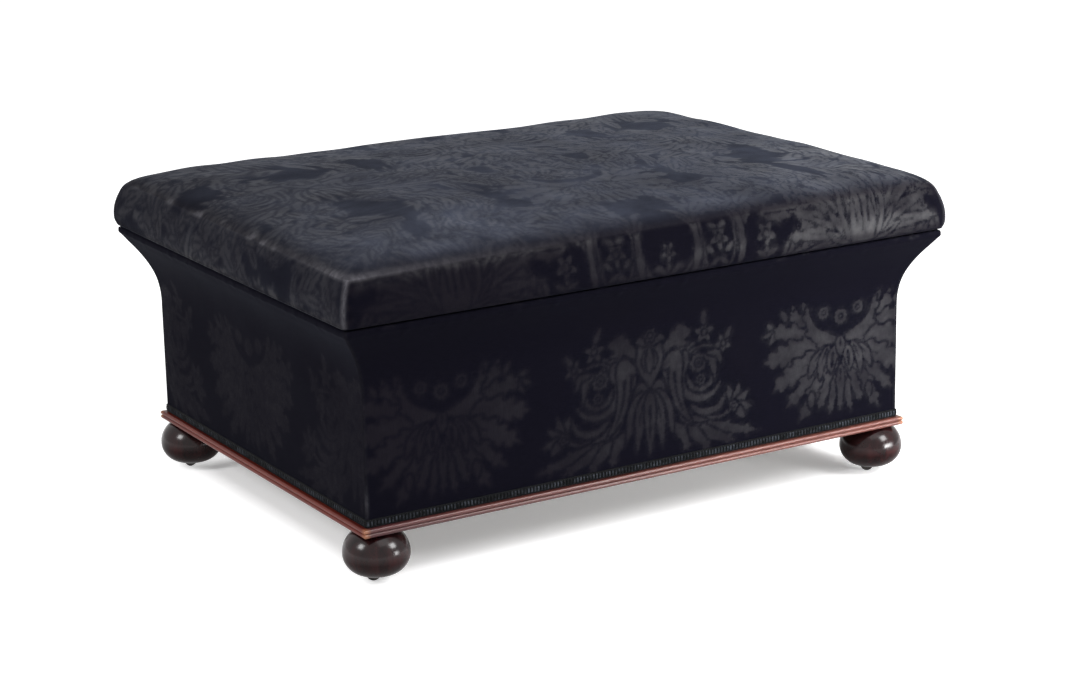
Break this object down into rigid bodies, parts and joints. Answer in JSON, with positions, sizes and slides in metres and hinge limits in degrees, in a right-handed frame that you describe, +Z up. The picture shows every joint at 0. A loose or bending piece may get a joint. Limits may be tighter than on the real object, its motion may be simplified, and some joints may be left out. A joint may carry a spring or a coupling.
{
  "type": "box ottoman",
  "caption": "Upholstered box ottoman with a hinged crowned lid, coved damask sides, mahogany base moulding and bun feet on hidden casters.",
  "frame": {"origin": "on the floor under the middle of the box", "axes": "+X along the length, +Y towards the hinges at the back, +Z up"},
  "size_m": [1.012, 0.768, 0.483],
  "materials": {
    "damask": "black figured damask, matt ground and satin figure",
    "braid": "black ribbed gimp",
    "lining_cotton": "brown glazed cotton",
    "webbing": "striped jute webbing",
    "hessian": "open jute weave",
    "horsehair": "curled hair",
    "pine": "bare sawn pine",
    "mahogany": "polished red mahogany",
    "dark_wood": "dark polished turned wood",
    "iron": "blackened",
    "brass": "aged brass",
    "steel": "plain screws and pins"
  },
  "bodies": {
    "carcass": {"front_panel": "pine", "front_cove_rail": "pine", "front_cover": "damask", "front_base_moulding": "mahogany", "back_panel": "pine", "back_cove_rail": "pine", "back_cover": "damask", "back_base_moulding": "mahogany", "left_panel": "pine", "left_cove_rail": "pine", "left_cover": "damask", "left_base_moulding": "mahogany", "right_panel": "pine", "right_cove_rail": "pine", "right_cover": "damask", "right_base_moulding": "mahogany", "bottom_board_left": "pine", "bottom_board_middle": "pine", "bottom_board_right": "pine", "foot_blocks": "pine", "gimp_braid": "braid", "box_lining": "lining_cotton", "foot_front_left": "dark_wood", "foot_front_right": "dark_wood", "foot_back_left": "dark_wood", "foot_back_right": "dark_wood", "caster_sockets": "iron", "caster_socket_screws": "steel", "hinge_box_leaves": "brass", "hinge_pins": "steel", "stay_box_studs": "brass", "box_hardware_screws": "steel"},
    "lid": {"lid_front_rail": "pine", "lid_back_rail": "pine", "lid_left_rail": "pine", "lid_right_rail": "pine", "lid_cross_rail": "pine", "lid_webbing": "webbing", "lid_hessian": "hessian", "lid_stuffing": "horsehair", "lid_cover": "damask", "lid_lining": "lining_cotton", "lid_hardware_screws": "steel", "hinge_lid_leaves": "brass", "stay_lid_brackets": "brass"},
    "left_stay": {"stay_left_arm": "brass"},
    "right_stay": {"stay_right_arm": "brass"},
    "front_left_swivel": {"caster_front_left_horn": "iron", "caster_front_left_axle": "iron"},
    "front_left_wheel": {"caster_front_left_wheel": "iron"},
    "front_right_swivel": {"caster_front_right_horn": "iron", "caster_front_right_axle": "iron"},
    "front_right_wheel": {"caster_front_right_wheel": "iron"},
    "back_left_swivel": {"caster_back_left_horn": "iron", "caster_back_left_axle": "iron"},
    "back_left_wheel": {"caster_back_left_wheel": "iron"},
    "back_right_swivel": {"caster_back_right_horn": "iron", "caster_back_right_axle": "iron"},
    "back_right_wheel": {"caster_back_right_wheel": "iron"}
  },
  "joints": [
    {"name": "lid_hinge", "type": "hinge", "parent": "carcass", "child": "lid", "pos_m": [0, 0.378, 0.3825], "axis": [-1, 0, 0], "range_deg": [0, 95]},
    {"name": "left_stay_pivot", "type": "hinge", "parent": "lid", "child": "left_stay", "pos_m": [-0.42775, 0.24831, 0.3735], "axis": [1, 0, 0], "range_deg": [0, 47.5]},
    {"name": "right_stay_pivot", "type": "hinge", "parent": "lid", "child": "right_stay", "pos_m": [0.42775, 0.24831, 0.3735], "axis": [1, 0, 0], "range_deg": [0, 47.5]},
    {"name": "front_left_caster_swivel", "type": "hinge", "parent": "carcass", "child": "front_left_swivel", "pos_m": [-0.428, -0.306, 0.025], "axis": [0, 0, 1], "continuous": true},
    {"name": "front_left_wheel_spin", "type": "hinge", "parent": "front_left_swivel", "child": "front_left_wheel", "pos_m": [-0.43229, -0.30343, 0.01], "axis": [-0.515, -0.8572, 0], "continuous": true},
    {"name": "front_right_caster_swivel", "type": "hinge", "parent": "carcass", "child": "front_right_swivel", "pos_m": [0.428, -0.306, 0.025], "axis": [0, 0, 1], "continuous": true},
    {"name": "front_right_wheel_spin", "type": "hinge", "parent": "front_right_swivel", "child": "front_right_wheel", "pos_m": [0.42358, -0.30365, 0.01], "axis": [-0.4695, -0.8829, 0], "continuous": true},
    {"name": "back_left_caster_swivel", "type": "hinge", "parent": "carcass", "child": "back_left_swivel", "pos_m": [-0.428, 0.306, 0.025], "axis": [0, 0, 1], "continuous": true},
    {"name": "back_left_wheel_spin", "type": "hinge", "parent": "back_left_swivel", "child": "back_left_wheel", "pos_m": [-0.43065, 0.31024, 0.01], "axis": [-0.848, -0.5299, 0], "continuous": true},
    {"name": "back_right_caster_swivel", "type": "hinge", "parent": "carcass", "child": "back_right_swivel", "pos_m": [0.428, 0.306, 0.025], "axis": [0, 0, 1], "continuous": true},
    {"name": "back_right_wheel_spin", "type": "hinge", "parent": "back_right_swivel", "child": "back_right_wheel", "pos_m": [0.42417, 0.30921, 0.01], "axis": [-0.6428, -0.766, 0], "continuous": true}
  ],
  "couplings": [
    {"joint": "left_stay_pivot", "follows": "lid_hinge", "ratio": 0.5},
    {"joint": "right_stay_pivot", "follows": "lid_hinge", "ratio": 0.5}
  ]
}
